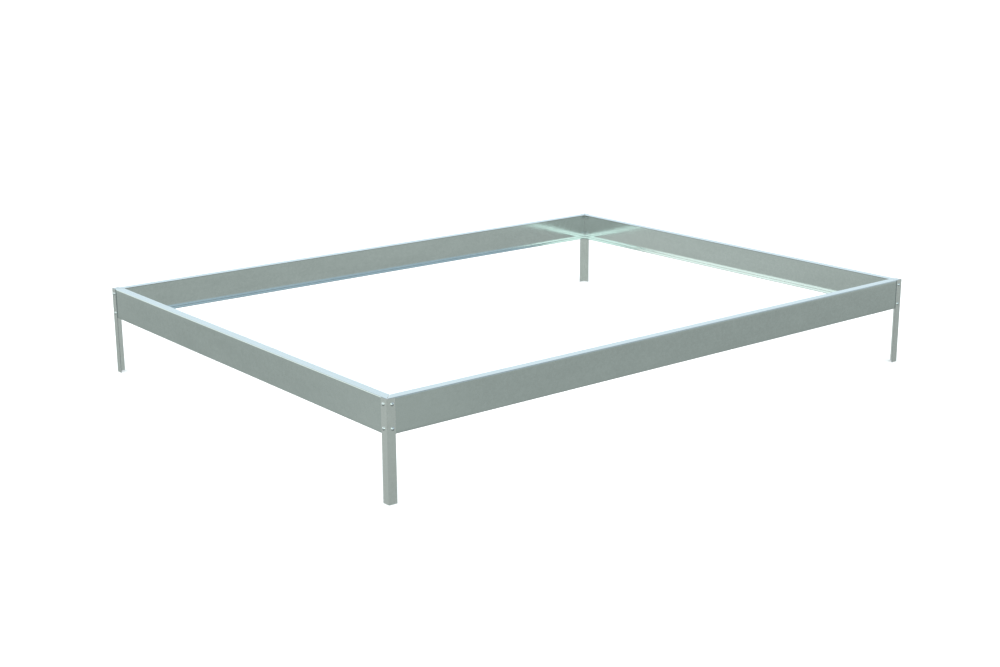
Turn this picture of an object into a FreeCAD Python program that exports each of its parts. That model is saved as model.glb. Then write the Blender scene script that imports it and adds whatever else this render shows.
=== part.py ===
import FreeCAD, Part

import math
import os

import Sketcher

# An open raised-bed frame on four legs.  Four rails, folded from sheet steel
# into C-sections that open inwards, meet in mitred corners.  A folded angle
# leg wraps the outside of each corner, flush with the top of the rails, and
# takes four bolts, two through each flange, with a washer and a nut inside.
#
# The frame stands on z = 0.  X runs along the long rails, Y along the short
# ones, and the origin is under the middle of the frame.
#
# Two local frames are used.  A rail is drawn with X along it, Y from its
# outer face inwards and Z up from its lower edge.  A corner's leg, bolts,
# washers and nuts are drawn with the origin on the ground under the corner
# where the outer faces of the two rails would meet, X and Y inwards along
# those rails, and Z up.

# Every size that can be set by itself, in millimetres unless it says otherwise.
SIZES = [
    ("frame_length", 2570.0, "outer faces of the short rails, apart"),
    ("frame_width", 1940.0, "outer faces of the long rails, apart"),
    ("rail_height", 120.0, "height of the rails' webs"),
    ("rail_flange", 35.0, "width of the rails' flanges, over the web"),
    ("rail_gauge", 1.5, "sheet thickness of the rails"),
    ("rail_bend_radius", 1.5, "inside radius of the rails' folds"),
    ("mitre_gap", 1.0, "clearance of a rail's end, along the rail"),
    ("leg_length", 350.0, "length of the legs, ground to rail top"),
    ("leg_flange", 32.0, "width of the legs' flanges, outside"),
    ("leg_gauge", 2.0, "sheet thickness of the legs"),
    ("leg_bend_radius", 1.5, "inside radius of the legs' fold"),
    ("bolt_inset", 20.0, "leg's outer edge to its bolts, across"),
    ("bolt_edge", 20.0, "rail's upper or lower edge to a bolt"),
    ("bolt_diameter", 6.0, "bolt thread, outside"),
    ("bolt_length", 12.0, "bolt, under its head"),
    ("bolt_tip_chamfer", 0.7, "chamfer on the bolt's tip"),
    ("bolt_clearance", 0.6, "bolt holes, over the bolt's diameter"),
    ("head_diameter", 12.0, "bolt's pan head"),
    ("head_height", 4.6, "bolt's pan head, with its dome"),
    ("head_rim", 1.6, "straight side of the bolt's head"),
    ("recess_span", 6.4, "cross recess, tip to tip"),
    ("recess_width", 1.3, "cross recess, width of a wing"),
    ("recess_depth", 2.6, "cross recess, below the dome's top"),
    ("washer_diameter", 12.0, "washer, outside"),
    ("washer_thickness", 1.6, "washer"),
    ("washer_clearance", 0.4, "washer's hole, over the bolt's diameter"),
    ("nut_width", 10.0, "nut, across flats"),
    ("nut_height", 5.2, "nut"),
    ("nut_chamfer", 0.25, "nut's chamfer circle, inside the flats"),
    ("nut_chamfer_slope", 30.0, "nut's chamfer, from its face, in degrees"),
    ("thread_clearance", 0.1, "nut's bore, over the bolt's diameter"),
    ("cut_overrun", 2.0, "how far cutting outlines pass the metal"),
]

# What follows from them, as formulas of the same sheet.
DERIVED = [
    ("rail_outer_radius", "=rail_bend_radius + rail_gauge"),
    ("leg_outer_radius", "=leg_bend_radius + leg_gauge"),
    ("rail_base", "=leg_length - rail_height"),
    ("web_setback", "=rail_gauge + mitre_gap"),
    ("long_web_half", "=frame_length / 2 - web_setback"),
    ("short_web_half", "=frame_width / 2 - web_setback"),
    ("mitre_depth", "=rail_flange + cut_overrun - rail_gauge"),
    ("bolt_side", "=bolt_inset - leg_gauge"),
    ("long_bolt_half", "=frame_length / 2 - bolt_side"),
    ("short_bolt_half", "=frame_width / 2 - bolt_side"),
    ("bolt_pitch", "=rail_height - 2 * bolt_edge"),
    ("low_bolt_level", "=rail_base + bolt_edge"),
    ("bolt_hole_radius", "=(bolt_diameter + bolt_clearance) / 2"),
    ("bolt_radius", "=bolt_diameter / 2"),
    ("bolt_shank", "=bolt_length - bolt_tip_chamfer"),
    ("head_radius", "=head_diameter / 2"),
    ("head_top", "=leg_gauge + head_height"),
    ("recess_half_span", "=recess_span / 2"),
    ("recess_half_width", "=recess_width / 2"),
    ("washer_radius", "=washer_diameter / 2"),
    ("washer_hole_radius", "=(bolt_diameter + washer_clearance) / 2"),
    ("nut_seat", "=rail_gauge + washer_thickness"),
    ("nut_side", "=nut_width / sqrt(3)"),
    ("nut_half_width", "=nut_width / 2"),
    ("nut_bore_radius", "=(bolt_diameter + thread_clearance) / 2"),
    ("nut_face", "=nut_seat + nut_height"),
    ("nut_chamfer_radius", "=nut_width / 2 - nut_chamfer"),
    ("nut_chamfer_reach", "=nut_side + cut_overrun - nut_chamfer_radius"),
    ("nut_chamfer_fall", "=nut_chamfer_reach * tan(nut_chamfer_slope * 1 deg)"),
]

# Corner of the frame, the signs of its X and Y, and its quarter turns.
CORNERS = [
    ("front_left", "-", "-", 0),
    ("front_right", "+", "-", 1),
    ("back_right", "+", "+", 2),
    ("back_left", "-", "+", 3),
]

# How sketch constraints name the origin, the axes and the points of an edge.
ORIGIN_POINT = (-1, 1)
H_AXIS = -1
V_AXIS = -2
START = 1
END = 2
CENTRE = 3

QUARTER_TURN = 90
FULL_TURN = 360
HEXAGON_SIDES = 6
UPRIGHT = FreeCAD.Vector(0, 0, 1)

# Below this, two lengths are the same.
TINY = 1e-6


doc = FreeCAD.newDocument("raised_frame")
sheet = doc.addObject("Spreadsheet::Sheet", "Sizes")


def fill_sheet():
    """Write every size and formula into the sheet, with its alias."""
    row = 1
    for alias, number, note in SIZES:
        sheet.set(f"A{row}", alias)
        sheet.set(f"B{row}", str(number))
        sheet.set(f"C{row}", note)
        sheet.setAlias(f"B{row}", alias)
        row += 1
    for alias, formula in DERIVED:
        sheet.set(f"A{row}", alias)
        sheet.set(f"B{row}", formula)
        sheet.setAlias(f"B{row}", alias)
        row += 1
    doc.recompute()


def size(alias):
    """The present value of one of the sheet's aliases."""
    return float(sheet.get(alias))


def bind(target, path, expression):
    """Tie one property of an object to an expression of the sheet."""
    target.setExpression(path, expression)


def new_body(name, many=False):
    """An empty body.  With many set, it may hold several solids."""
    body = doc.addObject("PartDesign::Body", name)
    body.Label = name
    body.AllowCompound = many
    return body


def new_sketch(body, name, role, offset=("0", "0", "0")):
    """A sketch on one of the body's origin planes, moved by the offset."""
    sketch = body.newObject("Sketcher::SketchObject", name)
    for feature in body.Origin.OriginFeatures:
        if feature.Role == role:
            sketch.AttachmentSupport = [(feature, "")]
    sketch.MapMode = "FlatFace"
    for axis, expression in zip("xyz", offset):
        if expression != "0":
            bind(sketch, f"AttachmentOffset.Base.{axis}", expression)
    return sketch


def dimension(sketch, kind, where, alias):
    """A named dimension of a sketch, bound to an alias of the sheet."""
    index = sketch.addConstraint(Sketcher.Constraint(kind, *where, size(alias)))
    name = f"{alias}_{index}"
    sketch.renameConstraint(index, name)
    bind(sketch, f"Constraints.{name}", f"Sizes.{alias}")


def add_line(sketch, start, end):
    """A straight line between two points of a sketch, level, upright or free."""
    line = sketch.addGeometry(Part.LineSegment(start, end), False)
    if math.isclose(start.y, end.y, abs_tol=TINY):
        sketch.addConstraint(Sketcher.Constraint("Horizontal", line))
    elif math.isclose(start.x, end.x, abs_tol=TINY):
        sketch.addConstraint(Sketcher.Constraint("Vertical", line))
    return line


def add_corner_arc(sketch, corner, arriving, leaving, radius):
    """The arc of a square corner, and which of its ends comes first."""
    centre = corner + (leaving - arriving) * radius
    first = corner - arriving * radius - centre
    last = corner + leaving * radius - centre
    turns_left = arriving.x * leaving.y - arriving.y * leaving.x > 0
    if not turns_left:
        first, last = last, first
    angle = math.atan2(first.y, first.x)
    circle = Part.Circle(centre, UPRIGHT, radius)
    arc = sketch.addGeometry(Part.ArcOfCircle(circle, angle, angle + math.pi / 2), False)
    if turns_left:
        return arc, START, END
    return arc, END, START


def add_outline(sketch, points):
    """A closed outline from (x, y, radius) corners: its lines and its arcs.

    A corner with a radius has to be square.  Line n leaves point n.
    """
    count = len(points)
    corners = [FreeCAD.Vector(x, y, 0) for x, y, radius in points]
    leaving = [(corners[(n + 1) % count] - corners[n]).normalize() for n in range(count)]
    lines = []
    for n in range(count):
        start = corners[n] + leaving[n] * points[n][2]
        end = corners[(n + 1) % count] - leaving[n] * points[(n + 1) % count][2]
        lines.append(add_line(sketch, start, end))
    arcs = {}
    for n in range(count):
        arriving_line = lines[n - 1]
        leaving_line = lines[n]
        radius = points[n][2]
        if radius == 0:
            sketch.addConstraint(
                Sketcher.Constraint("Coincident", arriving_line, END, leaving_line, START)
            )
            continue
        arc, first, last = add_corner_arc(sketch, corners[n], leaving[n - 1], leaving[n], radius)
        sketch.addConstraint(Sketcher.Constraint("Tangent", arriving_line, END, arc, first))
        sketch.addConstraint(Sketcher.Constraint("Tangent", arc, last, leaving_line, START))
        arcs[n] = arc
    return lines, arcs


def add_circle(sketch, across, up, radius):
    """A circle placed from the sketch's origin by three aliases."""
    centre = FreeCAD.Vector(size(across), size(up), 0)
    circle = sketch.addGeometry(Part.Circle(centre, UPRIGHT, size(radius)), False)
    dimension(sketch, "DistanceX", (*ORIGIN_POINT, circle, CENTRE), across)
    dimension(sketch, "DistanceY", (*ORIGIN_POINT, circle, CENTRE), up)
    dimension(sketch, "Radius", (circle,), radius)
    return circle


def add_centred_circle(sketch, radius):
    """A circle about the sketch's origin."""
    centre = FreeCAD.Vector(0, 0, 0)
    circle = sketch.addGeometry(Part.Circle(centre, UPRIGHT, size(radius)), False)
    sketch.addConstraint(Sketcher.Constraint("Coincident", circle, CENTRE, *ORIGIN_POINT))
    dimension(sketch, "Radius", (circle,), radius)


def add_centred_rectangle(sketch, half_wide, half_high):
    """A rectangle about the sketch's origin, from two half sizes."""
    wide = size(half_wide)
    high = size(half_high)
    points = [(-wide, -high, 0), (wide, -high, 0), (wide, high, 0), (-wide, high, 0)]
    lines, _ = add_outline(sketch, points)
    dimension(sketch, "DistanceX", (lines[0], START, *ORIGIN_POINT), half_wide)
    dimension(sketch, "DistanceY", (lines[0], START, *ORIGIN_POINT), half_high)
    dimension(sketch, "DistanceX", (*ORIGIN_POINT, lines[2], START), half_wide)
    dimension(sketch, "DistanceY", (*ORIGIN_POINT, lines[2], START), half_high)


def add_hexagon(sketch, half_width, side):
    """A regular hexagon about the sketch's origin, with upright flats."""
    reach = size(side)
    points = []
    for n in range(HEXAGON_SIDES):
        angle = (n + 0.5) * FULL_TURN / HEXAGON_SIDES
        corner = FreeCAD.Vector(reach, 0, 0)
        corner = FreeCAD.Rotation(UPRIGHT, angle).multVec(corner)
        points.append((corner.x, corner.y, 0))
    lines, _ = add_outline(sketch, points)
    for line in lines[1:]:
        sketch.addConstraint(Sketcher.Constraint("Equal", lines[0], line))
    dimension(sketch, "DistanceY", (*ORIGIN_POINT, lines[1], START), side)
    dimension(sketch, "DistanceX", (*ORIGIN_POINT, lines[0], START), half_width)
    dimension(sketch, "Distance", (lines[0],), side)


def add_hole_pair(sketch, across, level):
    """The two bolt holes of one face, one above the other."""
    low = add_circle(sketch, across, level, "bolt_hole_radius")
    centre = FreeCAD.Vector(size(across), size(level) + size("bolt_pitch"), 0)
    circle = Part.Circle(centre, UPRIGHT, size("bolt_hole_radius"))
    high = sketch.addGeometry(circle, False)
    sketch.addConstraint(Sketcher.Constraint("Equal", low, high))
    sketch.addConstraint(Sketcher.Constraint("Vertical", low, CENTRE, high, CENTRE))
    dimension(sketch, "DistanceY", (low, CENTRE, high, CENTRE), "bolt_pitch")


def pad(body, sketch, name, length, **settings):
    """Pad a sketch to a length, an expression of the sheet."""
    feature = body.newObject("PartDesign::Pad", name)
    feature.Profile = sketch
    bind(feature, "Length", length)
    for key, setting in settings.items():
        setattr(feature, key, setting)
    doc.recompute()


def cut_through(body, sketch, name):
    """Cut a sketch through the whole body, both ways."""
    before = body.Shape.Volume
    feature = body.newObject("PartDesign::Pocket", name)
    feature.Profile = sketch
    feature.SideType = "Symmetric"
    feature.Type = "ThroughAll"
    doc.recompute()
    require_cut(feature, before)
    return feature


def cut_to_depth(body, sketch, name, depth):
    """Cut a sketch into the body, against its plane's normal."""
    before = body.Shape.Volume
    feature = body.newObject("PartDesign::Pocket", name)
    feature.Profile = sketch
    bind(feature, "Length", f"Sizes.{depth}")
    doc.recompute()
    require_cut(feature, before)


def require_cut(feature, before):
    """Stop if a feature that should have removed metal removed none."""
    if feature.Shape.Volume > before - TINY:
        raise RuntimeError(f"{feature.Name} cuts nothing")


def place_body(body, turns, place):
    """Turn a body by quarter turns and move it to its place in the frame."""
    turn = FreeCAD.Rotation(UPRIGHT, QUARTER_TURN * turns)
    body.Placement = FreeCAD.Placement(FreeCAD.Vector(0, 0, 0), turn)
    for axis, expression in zip("xyz", place):
        bind(body, f"Placement.Base.{axis}", expression)
    doc.recompute()


def mirror(body, name, originals, plane):
    """Repeat some features, or the whole body, on the far side of a plane."""
    feature = body.newObject("PartDesign::Mirrored", name)
    if originals:
        feature.Originals = originals
    else:
        feature.TransformMode = "Whole shape"
    feature.MirrorPlane = plane
    body.Tip = feature
    doc.recompute()


def make_rail(name, web_half, bolt_half, turns, place):
    """A C-section rail, mitred and drilled at both ends."""
    body = new_body(name)
    flange = size("rail_flange")
    height = size("rail_height")
    gauge = size("rail_gauge")
    inside = size("rail_bend_radius")
    outside = size("rail_outer_radius")

    section = new_sketch(body, f"{name}_section", "YZ_Plane")
    points = [
        (0, 0, outside),
        (flange, 0, 0),
        (flange, gauge, 0),
        (gauge, gauge, inside),
        (gauge, height - gauge, inside),
        (flange, height - gauge, 0),
        (flange, height, 0),
        (0, height, outside),
    ]
    lines, arcs = add_outline(section, points)
    lower_tip = lines[1]
    web_inside = lines[3]
    upper_tip = lines[5]
    top = lines[6]
    web_outside = lines[7]
    section.addConstraint(Sketcher.Constraint("PointOnObject", lines[0], START, H_AXIS))
    section.addConstraint(Sketcher.Constraint("PointOnObject", web_outside, START, V_AXIS))
    section.addConstraint(Sketcher.Constraint("Equal", lower_tip, upper_tip))
    section.addConstraint(Sketcher.Constraint("Vertical", lower_tip, START, upper_tip, START))
    section.addConstraint(Sketcher.Constraint("Equal", arcs[3], arcs[4]))
    section.addConstraint(Sketcher.Constraint("Equal", arcs[0], arcs[7]))
    dimension(section, "DistanceX", (*ORIGIN_POINT, lower_tip, START), "rail_flange")
    dimension(section, "DistanceY", (*ORIGIN_POINT, top, START), "rail_height")
    dimension(section, "DistanceX", (*ORIGIN_POINT, web_inside, START), "rail_gauge")
    dimension(section, "DistanceY", (lower_tip, START, lower_tip, END), "rail_gauge")
    dimension(section, "Radius", (arcs[3],), "rail_bend_radius")
    dimension(section, "Radius", (arcs[0],), "rail_outer_radius")
    pad(body, section, f"{name}_fold", f"2 * Sizes.{web_half}", SideType="Symmetric")

    mitre = new_sketch(body, f"{name}_mitre", "XY_Plane")
    web_end = size(web_half)
    depth = size("mitre_depth")
    overrun = size("cut_overrun")
    points = [
        (web_end, gauge, 0),
        (web_end + overrun, gauge, 0),
        (web_end + overrun, gauge + depth, 0),
        (web_end - depth, gauge + depth, 0),
    ]
    lines, _ = add_outline(mitre, points)
    dimension(mitre, "DistanceX", (*ORIGIN_POINT, lines[0], START), web_half)
    dimension(mitre, "DistanceY", (*ORIGIN_POINT, lines[0], START), "rail_gauge")
    dimension(mitre, "DistanceX", (lines[0], START, lines[0], END), "cut_overrun")
    dimension(mitre, "DistanceY", (lines[1], START, lines[1], END), "mitre_depth")
    dimension(mitre, "DistanceX", (lines[3], START, lines[3], END), "mitre_depth")
    mitre_cut = cut_through(body, mitre, f"{name}_mitre_cut")

    holes = new_sketch(body, f"{name}_holes", "XZ_Plane")
    add_hole_pair(holes, bolt_half, "bolt_edge")
    hole_cut = cut_through(body, holes, f"{name}_hole_cut")

    mirror(body, f"{name}_far_end", [mitre_cut, hole_cut], (mitre, ["V_Axis"]))
    place_body(body, turns, place)
    return body


def make_leg(name, turns, place):
    """A folded angle leg, drilled for two bolts through each flange."""
    body = new_body(name)
    flange = size("leg_flange")
    gauge = size("leg_gauge")

    section = new_sketch(body, f"{name}_section", "XY_Plane")
    points = [
        (-gauge, -gauge, size("leg_outer_radius")),
        (flange - gauge, -gauge, 0),
        (flange - gauge, 0, 0),
        (0, 0, size("leg_bend_radius")),
        (0, flange - gauge, 0),
        (-gauge, flange - gauge, 0),
    ]
    lines, arcs = add_outline(section, points)
    x_tip = lines[1]
    x_inside = lines[2]
    y_inside = lines[3]
    y_tip = lines[4]
    section.addConstraint(Sketcher.Constraint("PointOnObject", x_inside, START, H_AXIS))
    section.addConstraint(Sketcher.Constraint("PointOnObject", y_inside, END, V_AXIS))
    section.addConstraint(Sketcher.Constraint("Equal", x_tip, y_tip))
    dimension(section, "DistanceY", (x_tip, START, x_tip, END), "leg_gauge")
    dimension(section, "DistanceX", (y_tip, END, x_tip, END), "leg_flange")
    dimension(section, "DistanceY", (x_tip, START, y_tip, START), "leg_flange")
    dimension(section, "Radius", (arcs[3],), "leg_bend_radius")
    dimension(section, "Radius", (arcs[0],), "leg_outer_radius")
    pad(body, section, f"{name}_fold", "Sizes.leg_length")

    for plane in ("XZ_Plane", "YZ_Plane"):
        holes = new_sketch(body, f"{name}_holes_{plane}", plane)
        add_hole_pair(holes, "bolt_side", "low_bolt_level")
        cut_through(body, holes, f"{name}_cut_{plane}")

    place_body(body, turns, place)
    return body


def fill_corner(body, name, upright_sketch):
    """Repeat one fastener at the corner's other three bolts.

    The first copy is the bolt above it.  The other two are their mirror
    images in the upright plane that halves the corner.
    """
    row = body.newObject("PartDesign::LinearPattern", f"{name}_upwards")
    row.TransformMode = "Whole shape"
    row.Direction = (upright_sketch, ["V_Axis"])
    bind(row, "Length", "Sizes.bolt_pitch")
    row.Occurrences = 2
    body.Tip = row
    doc.recompute()

    diagonal = new_sketch(body, f"{name}_diagonal", "XY_Plane")
    reach = size("leg_flange")
    start = FreeCAD.Vector(0, 0, 0)
    line = diagonal.addGeometry(Part.LineSegment(start, FreeCAD.Vector(reach, reach, 0)), True)
    diagonal.addConstraint(Sketcher.Constraint("Coincident", line, START, *ORIGIN_POINT))
    dimension(diagonal, "DistanceX", (line, START, line, END), "leg_flange")
    dimension(diagonal, "DistanceY", (line, START, line, END), "leg_flange")
    mirror(body, f"{name}_other_face", [], (diagonal, ["Axis0"]))


def make_bolts(name, turns, place):
    """A corner's four pan-head bolts, heads outside."""
    body = new_body(name, many=True)
    head = size("head_radius")
    top = size("head_height")
    rim = size("head_rim")
    shank = size("bolt_radius")
    tip = size("bolt_tip_chamfer")

    # The sketch's upright axis is the bolt's, and points into the frame.
    # The dome is an arc about a point on that axis, under the head's top.
    seat = ("Sizes.bolt_side", "-Sizes.leg_gauge", "Sizes.low_bolt_level")
    half = new_sketch(body, f"{name}_half", "XY_Plane", seat)
    dome_centre = (head ** 2 + rim ** 2 - top ** 2) / (2 * (top - rim))
    corners = [
        FreeCAD.Vector(head, -rim, 0),
        FreeCAD.Vector(head, 0, 0),
        FreeCAD.Vector(shank, 0, 0),
        FreeCAD.Vector(shank, size("bolt_shank"), 0),
        FreeCAD.Vector(shank - tip, size("bolt_length"), 0),
        FreeCAD.Vector(0, size("bolt_length"), 0),
        FreeCAD.Vector(0, -top, 0),
    ]
    lines = [add_line(half, corners[n], corners[n + 1]) for n in range(len(corners) - 1)]
    for before, after in zip(lines, lines[1:]):
        half.addConstraint(Sketcher.Constraint("Coincident", before, END, after, START))
    centre = FreeCAD.Vector(0, dome_centre, 0)
    dome_circle = Part.Circle(centre, UPRIGHT, dome_centre + top)
    dome_end = math.atan2(-rim - dome_centre, head)
    dome = half.addGeometry(Part.ArcOfCircle(dome_circle, -math.pi / 2, dome_end), False)
    side, under, body_line, chamfer, end_line, middle = lines
    half.addConstraint(Sketcher.Constraint("Coincident", middle, END, dome, START))
    half.addConstraint(Sketcher.Constraint("Coincident", dome, END, side, START))
    half.addConstraint(Sketcher.Constraint("PointOnObject", dome, CENTRE, V_AXIS))
    half.addConstraint(Sketcher.Constraint("PointOnObject", middle, START, V_AXIS))
    half.addConstraint(Sketcher.Constraint("PointOnObject", under, START, H_AXIS))
    dimension(half, "DistanceX", (*ORIGIN_POINT, under, START), "head_radius")
    dimension(half, "DistanceY", (side, START, side, END), "head_rim")
    dimension(half, "DistanceY", (dome, START, *ORIGIN_POINT), "head_height")
    dimension(half, "DistanceX", (*ORIGIN_POINT, body_line, START), "bolt_radius")
    dimension(half, "DistanceY", (*ORIGIN_POINT, chamfer, START), "bolt_shank")
    dimension(half, "DistanceY", (*ORIGIN_POINT, chamfer, END), "bolt_length")
    dimension(half, "DistanceX", (chamfer, END, chamfer, START), "bolt_tip_chamfer")
    turned = body.newObject("PartDesign::Revolution", f"{name}_turned")
    turned.Profile = half
    turned.ReferenceAxis = (half, ["V_Axis"])
    turned.Angle = FULL_TURN
    doc.recompute()

    # Seen from outside, on the plane through the dome's top.
    top_plane = ("Sizes.bolt_side", "Sizes.low_bolt_level", "Sizes.head_top")
    for direction in ("across", "upright"):
        wing = new_sketch(body, f"{name}_wing_{direction}", "XZ_Plane", top_plane)
        if direction == "across":
            wide, high = "recess_half_span", "recess_half_width"
        else:
            wide, high = "recess_half_width", "recess_half_span"
        add_centred_rectangle(wing, wide, high)
        cut_to_depth(body, wing, f"{name}_recess_{direction}", "recess_depth")

    fill_corner(body, name, wing)
    place_body(body, turns, place)
    return body


def make_washers(name, turns, place):
    """A corner's four plain washers, flat on the inside of the rails."""
    body = new_body(name, many=True)
    seat = ("Sizes.bolt_side", "Sizes.low_bolt_level", "-Sizes.rail_gauge")
    ring = new_sketch(body, f"{name}_ring", "XZ_Plane", seat)
    add_centred_circle(ring, "washer_radius")
    add_centred_circle(ring, "washer_hole_radius")
    pad(body, ring, f"{name}_plate", "Sizes.washer_thickness", Reversed=True)
    fill_corner(body, name, ring)
    place_body(body, turns, place)
    return body


def make_nuts(name, turns, place):
    """A corner's four hexagon nuts, on the washers."""
    body = new_body(name, many=True)
    seat = ("Sizes.bolt_side", "Sizes.low_bolt_level", "-Sizes.nut_seat")
    outline = new_sketch(body, f"{name}_outline", "XZ_Plane", seat)
    add_hexagon(outline, "nut_half_width", "nut_side")
    add_centred_circle(outline, "nut_bore_radius")
    pad(body, outline, f"{name}_block", "Sizes.nut_height", Reversed=True)

    # The chamfer's triangle lies on the free face and slopes back outwards.
    face = ("Sizes.bolt_side", "Sizes.nut_face", "Sizes.low_bolt_level")
    wedge = new_sketch(body, f"{name}_wedge", "XY_Plane", face)
    inner = size("nut_chamfer_radius")
    outer = inner + size("nut_chamfer_reach")
    corners = [(inner, 0, 0), (outer, -size("nut_chamfer_fall"), 0), (outer, 0, 0)]
    lines, _ = add_outline(wedge, corners)
    wedge.addConstraint(Sketcher.Constraint("PointOnObject", lines[0], START, H_AXIS))
    dimension(wedge, "DistanceX", (*ORIGIN_POINT, lines[0], START), "nut_chamfer_radius")
    dimension(wedge, "DistanceX", (lines[0], START, lines[0], END), "nut_chamfer_reach")
    dimension(wedge, "DistanceY", (lines[1], START, lines[1], END), "nut_chamfer_fall")
    before = body.Shape.Volume
    groove = body.newObject("PartDesign::Groove", f"{name}_chamfer")
    groove.Profile = wedge
    groove.ReferenceAxis = (wedge, ["V_Axis"])
    groove.Angle = FULL_TURN
    doc.recompute()
    require_cut(groove, before)

    fill_corner(body, name, outline)
    place_body(body, turns, place)
    return body


def export(bodies):
    """Check every object and every piece, then write each to its file."""
    doc.recompute()
    for item in doc.Objects:
        if "Invalid" in item.State or "Error" in item.State:
            raise RuntimeError(f"{item.Name} failed: {item.State}")
    for body, pieces in bodies:
        shape = body.Shape
        if shape.isNull() or not shape.isValid():
            raise RuntimeError(f"{body.Label} has no valid shape")
        if len(shape.Solids) != pieces:
            raise RuntimeError(f"{body.Label} has {len(shape.Solids)} solids, not {pieces}")
    os.makedirs("parts", exist_ok=True)
    for body, pieces in bodies:
        body.Shape.exportStep(f"parts/{body.Label}.step")


def build():
    """Make the rails and the four corners, and write them out."""
    fill_sheet()
    bodies = []
    half_length = "Sizes.frame_length / 2"
    half_width = "Sizes.frame_width / 2"
    level = "Sizes.rail_base"

    long_ends = ("long_web_half", "long_bolt_half")
    short_ends = ("short_web_half", "short_bolt_half")
    bodies.append((make_rail("front_rail", *long_ends, 0, ("0", f"-{half_width}", level)), 1))
    bodies.append((make_rail("right_rail", *short_ends, 1, (half_length, "0", level)), 1))
    bodies.append((make_rail("back_rail", *long_ends, 2, ("0", half_width, level)), 1))
    bodies.append((make_rail("left_rail", *short_ends, 3, (f"-{half_length}", "0", level)), 1))

    for corner, x_sign, y_sign, turns in CORNERS:
        place = (f"{x_sign}{half_length}", f"{y_sign}{half_width}", "0")
        bodies.append((make_leg(f"{corner}_leg", turns, place), 1))
        bodies.append((make_bolts(f"{corner}_bolts", turns, place), 4))
        bodies.append((make_washers(f"{corner}_washers", turns, place), 4))
        bodies.append((make_nuts(f"{corner}_nuts", turns, place), 4))
    export(bodies)


build()
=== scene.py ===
import math
import random

import bmesh
import bpy
from mathutils import Matrix, Vector, noise


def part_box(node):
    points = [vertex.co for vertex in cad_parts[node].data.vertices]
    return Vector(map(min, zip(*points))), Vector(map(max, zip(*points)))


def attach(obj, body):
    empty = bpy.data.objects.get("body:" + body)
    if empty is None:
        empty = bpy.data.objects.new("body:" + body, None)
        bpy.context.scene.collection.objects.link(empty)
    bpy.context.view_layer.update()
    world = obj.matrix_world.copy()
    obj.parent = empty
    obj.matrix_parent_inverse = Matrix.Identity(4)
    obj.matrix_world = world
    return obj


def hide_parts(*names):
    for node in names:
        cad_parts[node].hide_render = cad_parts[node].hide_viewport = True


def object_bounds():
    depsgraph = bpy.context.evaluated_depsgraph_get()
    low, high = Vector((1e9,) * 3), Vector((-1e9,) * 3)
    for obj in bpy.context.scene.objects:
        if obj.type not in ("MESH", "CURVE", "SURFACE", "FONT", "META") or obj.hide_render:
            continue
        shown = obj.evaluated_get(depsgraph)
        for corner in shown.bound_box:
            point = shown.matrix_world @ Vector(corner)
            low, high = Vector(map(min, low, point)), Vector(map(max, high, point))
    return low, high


# The looks of an open raised-bed frame: four folded rails of galvanised
# sheet, four folded angle legs outside their corners, and four bolts with
# washers and nuts at each corner.  Metres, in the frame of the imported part.

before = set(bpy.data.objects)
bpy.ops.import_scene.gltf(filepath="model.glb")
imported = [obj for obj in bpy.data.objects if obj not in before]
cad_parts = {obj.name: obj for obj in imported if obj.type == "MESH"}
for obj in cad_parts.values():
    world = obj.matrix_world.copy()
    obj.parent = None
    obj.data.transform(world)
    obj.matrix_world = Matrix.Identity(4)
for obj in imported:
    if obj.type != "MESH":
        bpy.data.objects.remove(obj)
CAD_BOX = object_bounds()

# ---------------------------------------------------------------- sizes

RAIL_GAUGE = 0.0015
RAIL_BEND = 0.0015
MITRE_GAP = 0.001
LEG_GAUGE = 0.002
LEG_BEND = 0.0015
EDGE_BREAK = 0.0002
BEND_STEPS = 10
RAIL_STEP = 0.022
WEB_STEPS = 12
FLANGE_STEPS = 4
LEG_STEPS = 16

# Bolts, from the corner of the rails' outer faces and the rails' edges.
BOLT_INSET = 0.018
BOLT_EDGE = 0.020
HOLE_RADIUS = 0.0033
HOLE_SIDES = 40
HEAD_RADIUS = 0.006
HEAD_HEIGHT = 0.0046
HEAD_RIM = 0.0016
HEAD_EDGE = 0.0002
DOME_STEPS = 12
BOLT_RADIUS = 0.003
BOLT_REACH = 0.010
THREAD_START = 0.0032
THREAD_DEPTH = 0.0005
THREAD_PITCH = 0.001
THREAD_ROWS = 8
TIP_CHAMFER = 0.0007
RECESS_SPAN = 0.0064
RECESS_WIDTH = 0.0013
RECESS_DEPTH = 0.0026
RECESS_TAPER = 0.5
RECESS_OVERRUN = 0.0006
WASHER_RADIUS = 0.006
WASHER_HOLE = 0.0032
WASHER_THICKNESS = 0.0016
WASHER_EDGE = 0.00025
ROUNDED = 0.3
NUT_WIDTH = 0.010
NUT_HEIGHT = 0.0052
NUT_BORE = 0.00305
NUT_FACE = 0.00475
NUT_LEAD = 0.0004
NUT_CHAMFER = math.radians(30)
TURNED_SIDES = 48

# How far a long folded sheet strays from true, away from its bolted ends.
WEB_WAVE = 0.0004
FLANGE_WAVE = 0.0008
CLAMPED = 0.06
CLAMP_FADE = 0.25

# Its waves for each metre along and up, and where each kind's noise is read.
BROAD_WAVES = (1.7, 6.0)
FINE_WAVES = (6.0, 14.0)
FINE_SHARE = 0.4
FINE_OFFSET = 9
LIP_WAVES = 2.3
LIP_OFFSET = 4

# How far apart sheets lie in the texture: no two rails share their marks, and
# no two legs do.
RAIL_SPACING = 7
LEG_SPACING = 3

SHARP_ANGLE = math.radians(35)
MERGE = 1e-7
SEED = 4

RAILS = ("front_rail", "right_rail", "back_rail", "left_rail")
CORNERS = {
    "front_left": (-1, -1),
    "front_right": (1, -1),
    "back_right": (1, 1),
    "back_left": (-1, 1),
}

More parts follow.
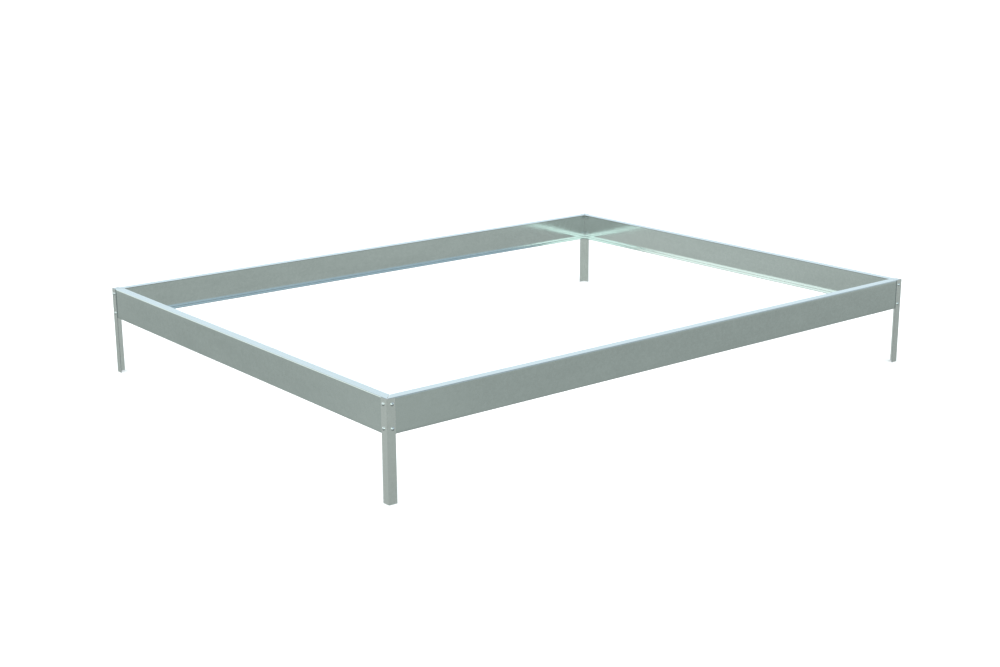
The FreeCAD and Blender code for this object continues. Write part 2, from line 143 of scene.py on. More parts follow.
MIDDLE = (CAD_BOX[0] + CAD_BOX[1]) / 2
UP = Vector((0, 0, 1))


# ------------------------------------------------------------ mesh tools

def finish_mesh(mesh):
    """Merge doubled points, face outwards, shade smooth, keep real edges sharp."""
    bm = bmesh.new()
    bm.from_mesh(mesh)
    bmesh.ops.remove_doubles(bm, verts=bm.verts, dist=MERGE)
    bmesh.ops.recalc_face_normals(bm, faces=bm.faces)
    for face in bm.faces:
        face.smooth = True
    for edge in bm.edges:
        if len(edge.link_faces) == 2:
            edge.smooth = edge.calc_face_angle() < SHARP_ANGLE
    bm.to_mesh(mesh)
    bm.free()


def new_mesh(name, verts, faces):
    """A finished mesh from plain lists."""
    mesh = bpy.data.meshes.new(name)
    mesh.from_pydata(verts, [], faces)
    finish_mesh(mesh)
    return mesh


def new_piece(name, mesh, material, node):
    """A piece of the object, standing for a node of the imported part."""
    piece = bpy.data.objects.new(name, mesh)
    bpy.context.scene.collection.objects.link(piece)
    mesh.materials.clear()
    mesh.materials.append(material)
    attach(piece, "root")
    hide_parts(node)


def turned(outline):
    """Points and faces of a turned part.  outline(angle) gives its closed
    outline at that angle, as (radius, height)."""
    verts = []
    faces = []
    for side in range(TURNED_SIDES):
        angle = 2 * math.pi * side / TURNED_SIDES
        points = outline(angle)
        for radius, height in points:
            verts.append((radius * math.cos(angle), radius * math.sin(angle), height))
    count = len(points)
    for side in range(TURNED_SIDES):
        here = side * count
        there = ((side + 1) % TURNED_SIDES) * count
        for n in range(count):
            m = (n + 1) % count
            faces.append((here + n, there + n, there + m, here + m))
    return verts, faces


def arc(centre, radius, start, end, steps):
    """Points along an arc, in degrees, both ends included."""
    points = []
    for n in range(steps + 1):
        angle = math.radians(start + (end - start) * n / steps)
        points.append((centre[0] + radius * math.cos(angle), centre[1] + radius * math.sin(angle)))
    return points


def spread(start, end, steps):
    """Evenly spaced values from start to end, both included."""
    return [start + (end - start) * n / steps for n in range(steps + 1)]


def cut_away(mesh, cutter):
    """The mesh with the cutter's volume taken out of it."""
    body = bpy.data.objects.new(mesh.name, mesh)
    tool = bpy.data.objects.new(cutter.name, cutter)
    for item in (body, tool):
        bpy.context.scene.collection.objects.link(item)
    modifier = body.modifiers.new("cut", "BOOLEAN")
    modifier.operation = "DIFFERENCE"
    modifier.solver = "EXACT"
    modifier.object = tool
    bpy.context.view_layer.update()
    graph = bpy.context.evaluated_depsgraph_get()
    result = bpy.data.meshes.new_from_object(body.evaluated_get(graph))
    bpy.data.objects.remove(body)
    bpy.data.objects.remove(tool)
    bpy.data.meshes.remove(mesh)
    bpy.data.meshes.remove(cutter)
    finish_mesh(result)
    return result


def drill(mesh, axes, reach):
    """The mesh with a bolt hole drilled along each (point, direction)."""
    bm = bmesh.new()
    for point, direction in axes:
        turn = UP.rotation_difference(direction).to_matrix().to_4x4()
        bmesh.ops.create_cone(
            bm, cap_ends=True, segments=HOLE_SIDES, radius1=HOLE_RADIUS, radius2=HOLE_RADIUS,
            depth=reach, matrix=Matrix.Translation(point) @ turn,
        )
    cutter = bpy.data.meshes.new("drill")
    bm.to_mesh(cutter)
    bm.free()
    return cut_away(mesh, cutter)


# ---------------------------------------------------------- folded sheet

def channel_pairs(depth, height):
    """A C-section as pairs of outer and inner points, lower tip to upper.

    A point is (depth from the rail's outer face, height above its base).
    """
    gauge = RAIL_GAUGE
    outer = RAIL_BEND + gauge
    steps = spread(depth - EDGE_BREAK, outer, FLANGE_STEPS)
    lower = [((d, 0.0), (d, gauge)) for d in steps]
    low_bend = list(zip(
        arc((outer, outer), outer, 270, 180, BEND_STEPS),
        arc((outer, outer), RAIL_BEND, 270, 180, BEND_STEPS),
    ))
    web = [((0.0, z), (gauge, z)) for z in spread(outer, height - outer, WEB_STEPS)]
    top_bend = list(zip(
        arc((outer, height - outer), outer, 180, 90, BEND_STEPS),
        arc((outer, height - outer), RAIL_BEND, 180, 90, BEND_STEPS),
    ))
    upper = [((d, height), (d, height - gauge)) for d in reversed(steps)]
    low_tip = ((depth, EDGE_BREAK), (depth, gauge - EDGE_BREAK))
    high_tip = ((depth, height - EDGE_BREAK), (depth, height - gauge + EDGE_BREAK))
    return [low_tip] + lower + low_bend[1:] + web[1:] + top_bend[1:] + upper[1:] + [high_tip]


def angle_pairs(flange):
    """An L-section as pairs of outer and inner points, tip to tip.

    Both coordinates run inwards from the leg's outer faces.
    """
    gauge = LEG_GAUGE
    outer = LEG_BEND + gauge
    steps = spread(flange - EDGE_BREAK, outer, FLANGE_STEPS)
    first = [((a, 0.0), (a, gauge)) for a in steps]
    bend = list(zip(
        arc((outer, outer), outer, 270, 180, BEND_STEPS),
        arc((outer, outer), LEG_BEND, 270, 180, BEND_STEPS),
    ))
    second = [((0.0, b), (gauge, b)) for b in reversed(steps)]
    first_tip = ((flange, EDGE_BREAK), (flange, gauge - EDGE_BREAK))
    last_tip = ((EDGE_BREAK, flange), (gauge - EDGE_BREAK, flange))
    return [first_tip] + first + bend[1:] + second[1:] + [last_tip]


def thinned(pair):
    """A pair drawn together by the broken edge of a cut end."""
    (a, b), (c, d) = pair
    share = EDGE_BREAK / math.hypot(c - a, d - b)
    near = (a + (c - a) * share, b + (d - b) * share)
    far = (c + (a - c) * share, d + (b - d) * share)
    return near, far


def sweep(pairs, rows, to_point):
    """Skin a sheet's section along its rows, and close both cut ends.

    A row is (position from -1 to 1, inset, thin): thin rows are the broken
    edges of the cut ends.  to_point puts a section point on its row.
    """
    verts = []
    faces = []
    width = 2 * len(pairs)
    last = width - 2
    for position, inset, thin in rows:
        for pair in pairs:
            for point in thinned(pair) if thin else pair:
                verts.append(to_point(point, position, inset))
    for row in range(len(rows) - 1):
        base = row * width
        after = base + width
        for n in range(0, last, 2):
            faces.append((base + n, base + n + 2, after + n + 2, after + n))
            faces.append((base + n + 1, after + n + 1, after + n + 3, base + n + 3))
        faces.append((base, after, after + 1, base + 1))
        faces.append((base + last, base + last + 1, after + last + 1, after + last))
    for base in (0, (len(rows) - 1) * width):
        for n in range(0, last, 2):
            faces.append((base + n, base + n + 1, base + n + 3, base + n + 2))
    return verts, faces


def sheet_rows(count):
    """Rows along a sheet with a broken edge at both ends."""
    rows = [(-1, 0.0, True), (-1, EDGE_BREAK, False)]
    rows += [(position, 0.0, False) for position in spread(-1, 1, count)[1:-1]]
    return rows + [(1, EDGE_BREAK, False), (1, 0.0, True)]


def tag_sheet(mesh, describe):
    """Store where each point lies on its flat sheet, for the material.

    describe gives (along, across, distance to the nearest cut edge).
    """
    values = []
    for vertex in mesh.vertices:
        values.extend(describe(vertex.co))
    tag = mesh.attributes.new("sheet", "FLOAT_VECTOR", "POINT")
    tag.data.foreach_set("vector", values)


def clamp_fade(distance):
    """0 beside a bolted end, rising smoothly to 1 along the sheet."""
    share = min(max((distance - CLAMPED) / CLAMP_FADE, 0.0), 1.0)
    return share * share * (3 - 2 * share)


def waves(along, up, counts, place):
    """Smooth noise with so many waves for each metre along and up."""
    return noise.noise(Vector((along * counts[0], up * counts[1], place)))


def rail_layout(node):
    """Where a rail is: its outer face's lower middle, directions and sizes."""
    low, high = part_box(node)
    size = high - low
    centre = (low + high) / 2
    offset = Vector((centre.x - MIDDLE.x, centre.y - MIDDLE.y, 0))
    outward = offset.normalized()
    depth = min(size.x, size.y)
    origin = Vector((centre.x, centre.y, low.z)) + outward * depth / 2
    along = outward.cross(UP)
    return origin, along, -outward, max(size.x, size.y) / 2, depth, size.z


def make_rail(node, seed, material):
    """One rail: a folded channel, faintly wavy, mitred at both ends."""
    origin, along, inward, half, depth, height = rail_layout(node)

    def reach(across):
        return half - max(0.0, across - RAIL_GAUGE)

    def to_point(point, position, inset):
        across, up = point
        x = position * (reach(across) - inset)
        loose = clamp_fade(half - abs(x))
        flex = waves(x, up, BROAD_WAVES, seed)
        flex += FINE_SHARE * waves(x, up, FINE_WAVES, seed + FINE_OFFSET)
        lip = max(0.0, across - RAIL_BEND - RAIL_GAUGE) / depth
        lip_place = Vector((x * LIP_WAVES, seed + LIP_OFFSET, round(up / height)))
        sag = 0.5 + 0.5 * noise.noise(lip_place)
        sag *= FLANGE_WAVE * lip * loose
        bulge = WEB_WAVE * flex * loose * math.sin(math.pi * min(max(up / height, 0), 1))
        across += max(bulge, -across)
        up += sag if up < height / 2 else -sag
        return origin + along * x + inward * across + UP * up

    def describe(place):
        offset = place - origin
        x = offset.dot(along)
        across = offset.dot(inward)
        up = offset.z
        folded = up + across if up > height / 2 else up - across
        edge = min(depth - across, reach(across) - abs(x))
        return x + RAIL_SPACING * seed, folded, edge

    count = math.ceil(2 * half / RAIL_STEP)
    verts, faces = sweep(channel_pairs(depth, height), sheet_rows(count), to_point)
    mesh = new_mesh(node + "_sheet", verts, faces)
    bolt_place = half + RAIL_GAUGE + MITRE_GAP - BOLT_INSET
    axes = []
    for side in (-1, 1):
        for up in (BOLT_EDGE, height - BOLT_EDGE):
            axes.append((origin + along * side * bolt_place + UP * up, inward))
    mesh = drill(mesh, axes, 4 * RAIL_GAUGE)
    tag_sheet(mesh, describe)
    new_piece(node + "_sheet", mesh, material, node)


def make_leg(corner, sides, seed, material):
    """One leg: a folded angle outside the rails' corner."""
    node = corner + "_leg"
    low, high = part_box(node)
    height = high.z - low.z
    flange = high.x - low.x
    outer = Vector((
        high.x if sides[0] > 0 else low.x,
        high.y if sides[1] > 0 else low.y,
        low.z,
    ))

    def to_point(point, position, inset):
        up = height / 2 + position * (height / 2 - inset)
        return outer + Vector((-sides[0] * point[0], -sides[1] * point[1], up))

    def describe(place):
        a = abs(place.x - outer.x)
        b = abs(place.y - outer.y)
        up = place.z - outer.z
        edge = min(flange - a, flange - b, up, height - up)
        return up + LEG_SPACING * seed, a - b, edge

    verts, faces = sweep(angle_pairs(flange), sheet_rows(LEG_STEPS), to_point)
    mesh = new_mesh(node + "_angle", verts, faces)
    mesh = drill(mesh, bolt_axes(sides), 4 * LEG_GAUGE)
    tag_sheet(mesh, describe)
    new_piece(node + "_angle", mesh, material, node)


# ------------------------------------------------------------- fasteners

def bolt_axes(sides):
    """The four bolts of a corner: where each crosses a rail's outer face,
    and its direction inwards."""
    front_back = "front_rail" if sides[1] < 0 else "back_rail"
    left_right = "left_rail" if sides[0] < 0 else "right_rail"
    long_low, long_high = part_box(front_back)
    short_low, short_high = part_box(left_right)
    x = short_low.x if sides[0] < 0 else short_high.x
    y = long_low.y if sides[1] < 0 else long_high.y
    axes = []
    for up in (long_low.z + BOLT_EDGE, long_high.z - BOLT_EDGE):
        axes.append((Vector((x - sides[0] * BOLT_INSET, y, up)), Vector((0, -sides[1], 0))))
        axes.append((Vector((x, y - sides[1] * BOLT_INSET, up)), Vector((-sides[0], 0, 0))))
    return axes


def bolt_outline(angle):
    """A pan-head bolt, its seat on the leg and its thread a real helix."""
    seat = -LEG_GAUGE
    top = seat - HEAD_HEIGHT
    rise = HEAD_HEIGHT - HEAD_RIM
    dome = (HEAD_RADIUS * HEAD_RADIUS + rise * rise) / (2 * rise)
    points = []
    spread_angle = math.asin(HEAD_RADIUS / dome)
    for n in range(DOME_STEPS):
        tilt = spread_angle * n / DOME_STEPS
        points.append((dome * math.sin(tilt), top + dome * (1 - math.cos(tilt))))
    rim = seat - HEAD_RIM
    points += [
        (HEAD_RADIUS - HEAD_EDGE, rim - HEAD_EDGE / 3),
        (HEAD_RADIUS, rim + HEAD_EDGE),
        (HEAD_RADIUS, seat - HEAD_EDGE),
        (HEAD_RADIUS - HEAD_EDGE, seat),
        (BOLT_RADIUS, seat),
        (BOLT_RADIUS, THREAD_START),
    ]
    end = BOLT_REACH - TIP_CHAMFER
    count = round((end - THREAD_START) / THREAD_PITCH * THREAD_ROWS)
    for n in range(1, count + 1):
        height = THREAD_START + n * THREAD_PITCH / THREAD_ROWS
        turn = (height / THREAD_PITCH + angle / (2 * math.pi)) % 1
        points.append((BOLT_RADIUS - THREAD_DEPTH * (1 - abs(2 * turn - 1)), height))
    points.append((BOLT_RADIUS - TIP_CHAMFER, BOLT_REACH))
    points.append((0.0, BOLT_REACH))
    return points


def recess_cutter():
    """The tapered cross that the driver fits into."""
    top = -LEG_GAUGE - HEAD_HEIGHT - RECESS_OVERRUN
    bottom = -LEG_GAUGE - HEAD_HEIGHT + RECESS_DEPTH
    verts = []
    for height, scale in ((top, 1.0), (bottom, RECESS_TAPER)):
        long = RECESS_SPAN / 2 * scale
        short = RECESS_WIDTH / 2 * (1 + scale) / 2
        for quarter in range(4):
            angle = quarter * math.pi / 2
            cos, sin = math.cos(angle), math.sin(angle)
            for x, y in ((long, -short), (long, short), (short, short)):
                verts.append(Vector((x * cos - y * sin, x * sin + y * cos, height)))
    faces = [tuple(range(12)), tuple(range(12, 24))]
    for n in range(12):
        m = (n + 1) % 12
        faces.append((n, m, 12 + m, 12 + n))
    return new_mesh("recess", verts, faces)


def make_bolt_mesh():
    """One bolt, along Z, with its seat on the leg's outer face."""
    verts, faces = turned(bolt_outline)
    return cut_away(new_mesh("bolt", verts, faces), recess_cutter())


def washer_outline(angle):
    """A punched washer: one face's edges drawn over, the other's crisp."""
    low = RAIL_GAUGE
    high = low + WASHER_THICKNESS
    edge = WASHER_EDGE
    outer = WASHER_RADIUS
    inner = WASHER_HOLE
    return [
        (inner + edge / 3, low),
        (outer - edge / 3, low),
        (outer, low + edge / 3),
        (outer, high - edge),
        (outer - edge * ROUNDED, high - edge * ROUNDED),
        (outer - edge, high),
        (inner + edge, high),
        (inner + edge * ROUNDED, high - edge * ROUNDED),
        (inner, high - edge),
        (inner, low + edge / 3),
    ]


def make_washer_mesh():
    """One washer, on the rail's inner face."""
    verts, faces = turned(washer_outline)
    return new_mesh("washer", verts, faces)


def nut_outline(angle):
    """A hexagon nut, its corners turned off on both faces."""
    low = RAIL_GAUGE + WASHER_THICKNESS
    high = low + NUT_HEIGHT
    sixth = math.pi / 3
    corner = NUT_WIDTH / 2 / math.cos((angle % sixth) - sixth / 2)
    drop = (corner - NUT_FACE) * math.tan(NUT_CHAMFER)
    bore = NUT_BORE
    return [
        (bore + NUT_LEAD, low),
        (NUT_FACE, low),
        (corner, low + drop),
        (corner, high - drop),
        (NUT_FACE, high),
        (bore + NUT_LEAD, high),
        (bore, high - NUT_LEAD),
        (bore, low + NUT_LEAD),
    ]


def make_nut_mesh():
    """One nut, on its washer."""
    verts, faces = turned(nut_outline)
    return new_mesh("nut", verts, faces)


def add_fasteners(corner, sides, meshes, dice, materials):
    """Bolt, washer and nut on each of a corner's four axes."""
    for n, (point, inward) in enumerate(bolt_axes(sides), start=1):
        turn = UP.rotation_difference(inward).to_matrix().to_4x4()
        for kind in ("bolt", "washer", "nut"):
            spin = Matrix.Rotation(dice.uniform(0, 2 * math.pi), 4, "Z")
            mesh = meshes[kind].copy()
            mesh.transform(Matrix.Translation(point) @ turn @ spin)
            name = f"{corner}_{kind}_{n}"
            mesh.name = name
            suffix = "_washers" if kind == "washer" else f"_{kind}s"
            new_piece(name, mesh, materials[kind], corner + suffix)


# ------------------------------------------------------------- materials

RAIL_COLOUR = (0.775, 0.822, 0.808)
LEG_COLOUR = (0.955, 0.975, 0.955)
# The cut edges' colours: bare steel, darkened beyond its own tone as painted shade lines along the
# edges, the rails' nearly to black.
RAIL_CUT_AND_SHADE = (0.05, 0.055, 0.055)
LEG_CUT_AND_SHADE = (0.34, 0.36, 0.36)
BOLT_COLOUR = (0.86, 0.89, 0.89)
BOLT_WORN = (0.95, 0.96, 0.96)
NUT_COLOUR = (0.74, 0.78, 0.78)
NUT_WORN = (0.90, 0.92, 0.92)
FLOOR_COLOUR = (0.80, 0.80, 0.80)
RAIL_ROUGHNESS = 0.13
LEG_ROUGHNESS = 0.18
BOLT_ROUGHNESS = 0.22
NUT_ROUGHNESS = 0.26

# Marks on the sheet, in waves for each metre along and across it.
CLOUD_WAVES = (5.0, 11.0, 1.0)
PATCH_WAVES = (28.0, 40.0, 1.0)
STREAK_WAVES = (2.5, 260.0, 1.0)
GRAIN_WAVES = (500.0, 1500.0, 1.0)

# The zinc's crystals, in metres, and how far their borders wander.
RAIL_CRYSTAL = 0.009
LEG_CRYSTAL = 0.007
CRYSTAL_WARP = 0.6
WARP_FINENESS = 0.9

# How far from a cut edge the sheet is rubbed, and where it is bare and painted dark as a shade
# line, in metres.
RAGGEDNESS = 0.0012
RUBBED_EDGE = (0.0003, 0.0030)
BARE_AND_SHADED_EDGE = (0.0001, 0.0002)

# How strongly each mark changes the sheet's shade, roughness and height.
SHEET_SHADE = {
    "clouds": 0.10,
    "patches": 0.05,
    "streaks": 0.05,
    "flakes": 0.04,
    "grain": 0.02,
    "rubbed": 0.04,
}
SHEET_GLOSS = {
    "clouds": 0.05,
    "patches": 0.03,
    "streaks": 0.03,
    "flakes": 0.04,
    "rubbed": 0.08,
    "bare_and_shaded": 0.25,
}
SHEET_HEIGHT = {"patches": 0.5, "flakes": 0.10, "streaks": 0.10, "grain": 0.05}
SHEET_BUMP = 0.00005

# The same for the plate on bolts, washers and nuts.
BLOOM_WAVES = (220.0, 220.0, 220.0)
PIT_WAVES = (2600.0, 2600.0, 2600.0)
LINE_WAVES = (900.0, 900.0, 4000.0)
RAISED_EDGE = (0.52, 0.62)
EDGE_WEAR = 0.7
PLATE_SHADE = {"bloom": 0.22, "pits": 0.08}
PLATE_GLOSS = {"bloom": 0.12, "pits": 0.08, "edges": -0.06}
PLATE_HEIGHT = {"pits": 0.4, "lines": 0.3, "bloom": 0.3}
PLATE_BUMP = 0.00003

MOTTLE_WAVES = (0.8, 0.8, 0.8)
MOTTLE = 0.02


def add(tree, kind, inputs=None, **settings):
    """A shader node with its settings and its inputs set or linked."""
    item = tree.nodes.new(kind)
    for name, value in settings.items():
        setattr(item, name, value)
    for socket, value in (inputs or {}).items():
        if isinstance(value, bpy.types.NodeSocket):
            tree.links.new(value, item.inputs[socket])
        else:
            item.inputs[socket].default_value = value
    return item


def maths(tree, operation, a, b=0.0, c=0.0):
    """One operation on up to three numbers or sockets."""
    return add(tree, "ShaderNodeMath", {0: a, 1: b, 2: c}, operation=operation).outputs[0]


def multiplied(tree, vector, by):
    """A vector times another, axis by axis."""
    inputs = {0: vector, 1: by}
    return add(tree, "ShaderNodeVectorMath", inputs, operation="MULTIPLY").outputs[0]


def summed(tree, vector, other):
    """Two vectors added."""
    inputs = {0: vector, 1: other}
    return add(tree, "ShaderNodeVectorMath", inputs, operation="ADD").outputs[0]


def shaded(tree, colour, shade):
    """A colour times a shade."""
    inputs = {0: colour, 3: shade}
    return add(tree, "ShaderNodeVectorMath", inputs, operation="SCALE").outputs[0]


def mixed(tree, share, first, second):
    """Two colours, or colour sockets, mixed by a share of the second."""
    mix = add(tree, "ShaderNodeMix", {0: share}, data_type="RGBA")
    for socket, value in ((mix.inputs[6], first), (mix.inputs[7], second)):
        if isinstance(value, bpy.types.NodeSocket):
            tree.links.new(value, socket)
        else:
            socket.default_value = (*value, 1.0)
    return mix.outputs[2]


def carried(tree, value, span, low, high):
    """A value's place in its span, carried over to run from low to high."""
    inputs = {
        "Value": value,
        "From Min": span[0],
        "From Max": span[1],
        "To Min": low,
        "To Max": high,
    }
    return add(tree, "ShaderNodeMapRange", inputs).outputs[0]


def cloud(tree, vector, waves_each_way, detail=2.0, rough=0.5):
    """Soft noise about zero, from about -0.5 to 0.5."""
    inputs = {
        "Vector": multiplied(tree, vector, waves_each_way),
        "Scale": 1.0,
        "Detail": detail,
        "Roughness": rough,
    }
    texture = add(tree, "ShaderNodeTexNoise", inputs)
    return maths(tree, "SUBTRACT", texture.outputs[0], 0.5)


def spangle(tree, vector, scale):
    """A random value for each crystal of the zinc, from -0.5 to 0.5."""
    inputs = {"Vector": vector, "Scale": scale * WARP_FINENESS, "Detail": 1.0}
    bend = add(tree, "ShaderNodeTexNoise", inputs).outputs[1]
    push = multiplied(tree, bend, (CRYSTAL_WARP / scale,) * 3)
    inputs = {"Vector": summed(tree, vector, push), "Scale": scale}
    cells = add(tree, "ShaderNodeTexVoronoi", inputs)
    split = add(tree, "ShaderNodeSeparateColor", {0: cells.outputs["Color"]})
    return maths(tree, "SUBTRACT", split.outputs[0], 0.5)


def total(tree, base, marks, strengths):
    """base plus each mark times its strength."""
    for name, strength in strengths.items():
        base = maths(tree, "MULTIPLY_ADD", marks[name], strength, base)
    return base


def metal(name):
    """An empty metallic material: its tree and shader."""
    material = bpy.data.materials.new(name)
    material.use_nodes = True
    shader = material.node_tree.nodes["Principled BSDF"]
    shader.inputs["Metallic"].default_value = 1.0
    return material, material.node_tree, shader


def bumped(tree, shader, height, depth):
    """Give a shader a bump of a depth, in metres."""
    bump = add(tree, "ShaderNodeBump", {"Strength": 1.0, "Distance": depth, "Height": height})
    tree.links.new(bump.outputs[0], shader.inputs["Normal"])


def galvanised_sheet(name, colour, cut, roughness, crystal):
    """Zinc-coated sheet: rolling streaks, clouds, faint spangle, and cut edges of bare steel
    painted darker as a painted shade line.
    """
    material, tree, shader = metal(name)
    tag = add(tree, "ShaderNodeAttribute", attribute_name="sheet")
    split = add(tree, "ShaderNodeSeparateXYZ", {0: tag.outputs["Vector"]})
    along, across, edge = split.outputs
    flat = add(tree, "ShaderNodeCombineXYZ", {0: along, 1: across}).outputs[0]
    patches = cloud(tree, flat, PATCH_WAVES, detail=4.0, rough=0.6)
    ragged = maths(tree, "MULTIPLY_ADD", patches, RAGGEDNESS, edge)
    marks = {
        "clouds": cloud(tree, flat, CLOUD_WAVES, detail=3.0),
        "patches": patches,
        "streaks": cloud(tree, flat, STREAK_WAVES, detail=3.0, rough=0.6),
        "grain": cloud(tree, flat, GRAIN_WAVES),
        "flakes": spangle(tree, flat, 1 / crystal),
        "rubbed": carried(tree, ragged, RUBBED_EDGE, 1.0, 0.0),
        # The strip along the cut edges: bare steel, darkened as a painted shade line, and rougher.
        "bare_and_shaded": carried(tree, edge, BARE_AND_SHADED_EDGE, 1.0, 0.0),
    }
    shade = total(tree, 1.0, marks, SHEET_SHADE)
    # The cut edges take the cut colour: bare steel darkened as painted shade.
    base = mixed(tree, marks["bare_and_shaded"], shaded(tree, colour, shade), cut)
    tree.links.new(base, shader.inputs["Base Color"])
    tree.links.new(total(tree, roughness, marks, SHEET_GLOSS), shader.inputs["Roughness"])
    bumped(tree, shader, total(tree, 0.0, marks, SHEET_HEIGHT), SHEET_BUMP)
    return material


def plated(name, colour, worn, roughness):
    """Bright zinc plate on small parts: fine pits, rubbed on raised edges."""
    material, tree, shader = metal(name)
    place = add(tree, "ShaderNodeTexCoord").outputs["Object"]
    raised = add(tree, "ShaderNodeNewGeometry").outputs["Pointiness"]
    marks = {
        "bloom": cloud(tree, place, BLOOM_WAVES, detail=3.0),
        "pits": cloud(tree, place, PIT_WAVES),
        "lines": cloud(tree, place, LINE_WAVES, detail=1.0),
        "edges": carried(tree, raised, RAISED_EDGE, 0.0, EDGE_WEAR),
    }
    shade = total(tree, 1.0, marks, PLATE_SHADE)
    base = mixed(tree, marks["edges"], shaded(tree, colour, shade), worn)
    tree.links.new(base, shader.inputs["Base Color"])
    tree.links.new(total(tree, roughness, marks, PLATE_GLOSS), shader.inputs["Roughness"])
    bumped(tree, shader, total(tree, 0.0, marks, PLATE_HEIGHT), PLATE_BUMP)
    return material


def floor_paint():
    """Plain pale studio floor with the faintest mottle."""
    material = bpy.data.materials.new("studio_floor")
    material.use_nodes = True
    tree = material.node_tree
    shader = tree.nodes["Principled BSDF"]
    shader.inputs["Roughness"].default_value = 1.0
    shader.inputs["Specular IOR Level"].default_value = 0.0
    place = add(tree, "ShaderNodeTexCoord").outputs["Object"]
    mottle = cloud(tree, place, MOTTLE_WAVES)
    shade = maths(tree, "MULTIPLY_ADD", mottle, MOTTLE, 1.0)
    tree.links.new(shaded(tree, FLOOR_COLOUR, shade), shader.inputs["Base Color"])
    return material


# ------------------------------------------------------ stage and camera

FLOOR_HALF = 60.0
FLOOR_STEPS = 24

# The studio as a direction sees it: walls and ceiling above the horizon,
# a duller ground below it that darkens straight down.
WALLS = (0.80, 0.94, 1.03)
CEILING = (0.46, 0.51, 0.54)
CEILING_RISE = (0.30, 0.70)
NEAR_GROUND = (0.345, 0.388, 0.372)
FAR_GROUND = (0.62, 0.68, 0.66)
GROUND_RISE = (-0.27, -0.02)
NADIR = (0.17, 0.19, 0.185)
NADIR_FALL = (0.32, 0.75)
HORIZON_SOFTNESS = 0.03

# Brighter and dimmer sides of the studio: (way, focus, light added).
WALL_GLOWS = (
    ((-0.60, 0.76, 0.24), 8.0, (0.42, 0.42, 0.26)),
    ((-0.60, -0.76, 0.25), 6.0, (0.55, 0.68, 0.52)),
    ((0.600, -0.760, 0.24), 3.0, (-0.36, -0.36, -0.34)),
)
GROUND_GLOWS = (
    ((-0.671, 0.695, -0.259), 84.0, (0.110, 0.115, 0.110)),
    ((0.836, -0.483, -0.259), 20.0, (-0.030, -0.035, -0.033)),
    ((0.533, -0.791, -0.300), 1000.0, (0.055, 0.058, 0.055)),
    ((-0.542, 0.775, -0.326), 500.0, (0.045, 0.045, 0.045)),
)

# An even light for the floor alone, from well above.
FLOOR_LIGHT = 4.0
FLOOR_LIGHT_SPREAD = math.radians(80)
FLOOR_LIGHT_TILT = math.radians(12)

CAMERA_PLACE = Vector((-3.814, -4.6653, 1.7548))
CAMERA_HEADING = math.radians(51.130)
CAMERA_DIP = math.radians(15.005)
CAMERA_ROLL = math.radians(-0.226)
CAMERA_LENS = 54.58
SENSOR = 36.0
CAMERA_FAR = 300.0


def make_floor():
    """A wide pale floor.  Polished metal mirrors the studio, not this floor,
    so that the floor can be white without whitening the metal."""
    verts = []
    faces = []
    for row in range(FLOOR_STEPS + 1):
        for column in range(FLOOR_STEPS + 1):
            x = FLOOR_HALF * (2 * column / FLOOR_STEPS - 1)
            y = FLOOR_HALF * (2 * row / FLOOR_STEPS - 1)
            verts.append((x, y, 0.0))
    for row in range(FLOOR_STEPS):
        for column in range(FLOOR_STEPS):
            n = row * (FLOOR_STEPS + 1) + column
            faces.append((n, n + 1, n + FLOOR_STEPS + 2, n + FLOOR_STEPS + 1))
    mesh = bpy.data.meshes.new("floor")
    mesh.from_pydata(verts, [], faces)
    mesh.materials.append(floor_paint())
    floor = bpy.data.objects.new("floor", mesh)
    bpy.context.scene.collection.objects.link(floor)
    floor.visible_glossy = False


def ramp(tree, value, start, end):
    """A smooth rise from 0 at start to 1 at end."""
    inputs = {"Value": value, "From Min": start, "From Max": end}
    rise = add(tree, "ShaderNodeMapRange", inputs, interpolation_type="SMOOTHSTEP")
    return rise.outputs[0]


def facing(tree, direction, way, focus):
    """How nearly a direction looks one way, from 0 to 1."""
    inputs = {0: direction, 1: Vector(way).normalized()}
    dot = add(tree, "ShaderNodeVectorMath", inputs, operation="DOT_PRODUCT").outputs["Value"]
    return maths(tree, "POWER", maths(tree, "MAXIMUM", dot, 0.0), focus)


def glowing(tree, direction, light, glows):
    """A light with each glow added round its own way."""
    for way, focus, colour in glows:
        glow = shaded(tree, colour, facing(tree, direction, way, focus))
        light = summed(tree, light, glow)
    return light


def make_studio():
    """Soft light from all round, brighter on some sides than on others."""
    world = bpy.data.worlds.new("studio")
    bpy.context.scene.world = world
    world.use_nodes = True
    tree = world.node_tree
    direction = add(tree, "ShaderNodeTexCoord").outputs["Generated"]
    height = add(tree, "ShaderNodeSeparateXYZ", {0: direction}).outputs[2]
    walls = mixed(tree, ramp(tree, height, *CEILING_RISE), WALLS, CEILING)
    ground = mixed(tree, ramp(tree, height, *GROUND_RISE), NEAR_GROUND, FAR_GROUND)
    down = maths(tree, "MULTIPLY", height, -1.0)
    ground = mixed(tree, ramp(tree, down, *NADIR_FALL), ground, NADIR)
    walls = glowing(tree, direction, walls, WALL_GLOWS)
    ground = glowing(tree, direction, ground, GROUND_GLOWS)
    level = ramp(tree, height, -HORIZON_SOFTNESS, HORIZON_SOFTNESS)
    background = tree.nodes["Background"]
    tree.links.new(mixed(tree, level, ground, walls), background.inputs["Color"])
    background.inputs["Strength"].default_value = 1.0


def make_floor_light():
    """The floor's own light, which polished metal doesn't mirror."""
    data = bpy.data.lights.new("floor_light", "SUN")
    data.energy = FLOOR_LIGHT
    data.angle = FLOOR_LIGHT_SPREAD
    light = bpy.data.objects.new("floor_light", data)
    light.rotation_euler = (FLOOR_LIGHT_TILT, 0.0, 0.0)
    light.visible_glossy = False
    bpy.context.scene.collection.objects.link(light)


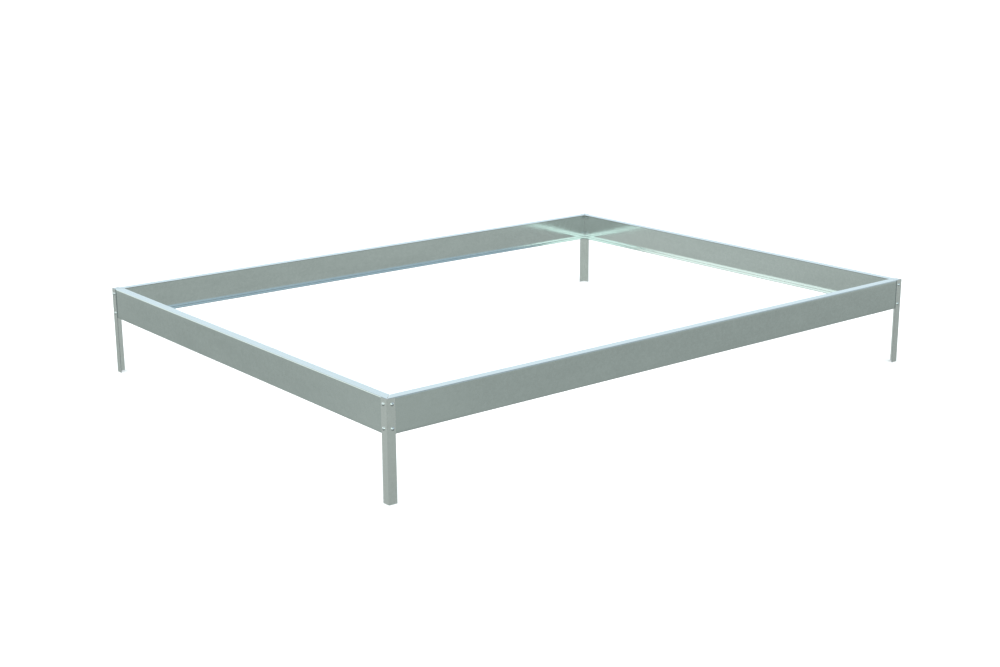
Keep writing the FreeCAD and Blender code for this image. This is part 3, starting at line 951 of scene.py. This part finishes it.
def make_camera():
    """The camera, aimed by its heading and dip and turned by its roll."""
    forward = Vector((
        math.cos(CAMERA_HEADING) * math.cos(CAMERA_DIP),
        math.sin(CAMERA_HEADING) * math.cos(CAMERA_DIP),
        -math.sin(CAMERA_DIP),
    ))
    level = forward.cross(UP).normalized()
    upright = level.cross(forward)
    cos, sin = math.cos(CAMERA_ROLL), math.sin(CAMERA_ROLL)
    right = cos * level + sin * upright
    above = cos * upright - sin * level
    turn = Matrix((right, above, -forward)).transposed().to_4x4()
    data = bpy.data.cameras.new("camera")
    data.sensor_fit = "HORIZONTAL"
    data.sensor_width = SENSOR
    data.lens = CAMERA_LENS
    data.clip_end = CAMERA_FAR
    camera = bpy.data.objects.new("camera", data)
    camera.matrix_world = Matrix.Translation(CAMERA_PLACE) @ turn
    bpy.context.scene.collection.objects.link(camera)
    bpy.context.scene.camera = camera


def build():
    """Every piece of the frame."""
    rail_look = (RAIL_COLOUR, RAIL_CUT_AND_SHADE, RAIL_ROUGHNESS, RAIL_CRYSTAL)
    leg_look = (LEG_COLOUR, LEG_CUT_AND_SHADE, LEG_ROUGHNESS, LEG_CRYSTAL)
    rail_steel = galvanised_sheet("rail_steel", *rail_look)
    leg_steel = galvanised_sheet("leg_steel", *leg_look)
    bolt_zinc = plated("bolt_zinc_plate", BOLT_COLOUR, BOLT_WORN, BOLT_ROUGHNESS)
    nut_zinc = plated("nut_zinc_plate", NUT_COLOUR, NUT_WORN, NUT_ROUGHNESS)
    materials = {"bolt": bolt_zinc, "washer": nut_zinc, "nut": nut_zinc}
    meshes = {"bolt": make_bolt_mesh(), "washer": make_washer_mesh(), "nut": make_nut_mesh()}
    dice = random.Random(SEED)
    for seed, node in enumerate(RAILS, start=1):
        make_rail(node, seed, rail_steel)
    for seed, (corner, sides) in enumerate(CORNERS.items(), start=1):
        make_leg(corner, sides, seed, leg_steel)
        add_fasteners(corner, sides, meshes, dice, materials)
    for mesh in meshes.values():
        bpy.data.meshes.remove(mesh)


build()
make_floor()
make_studio()
make_floor_light()
make_camera()

settings = bpy.context.scene.view_settings
settings.view_transform = "Standard"
settings.look = "None"
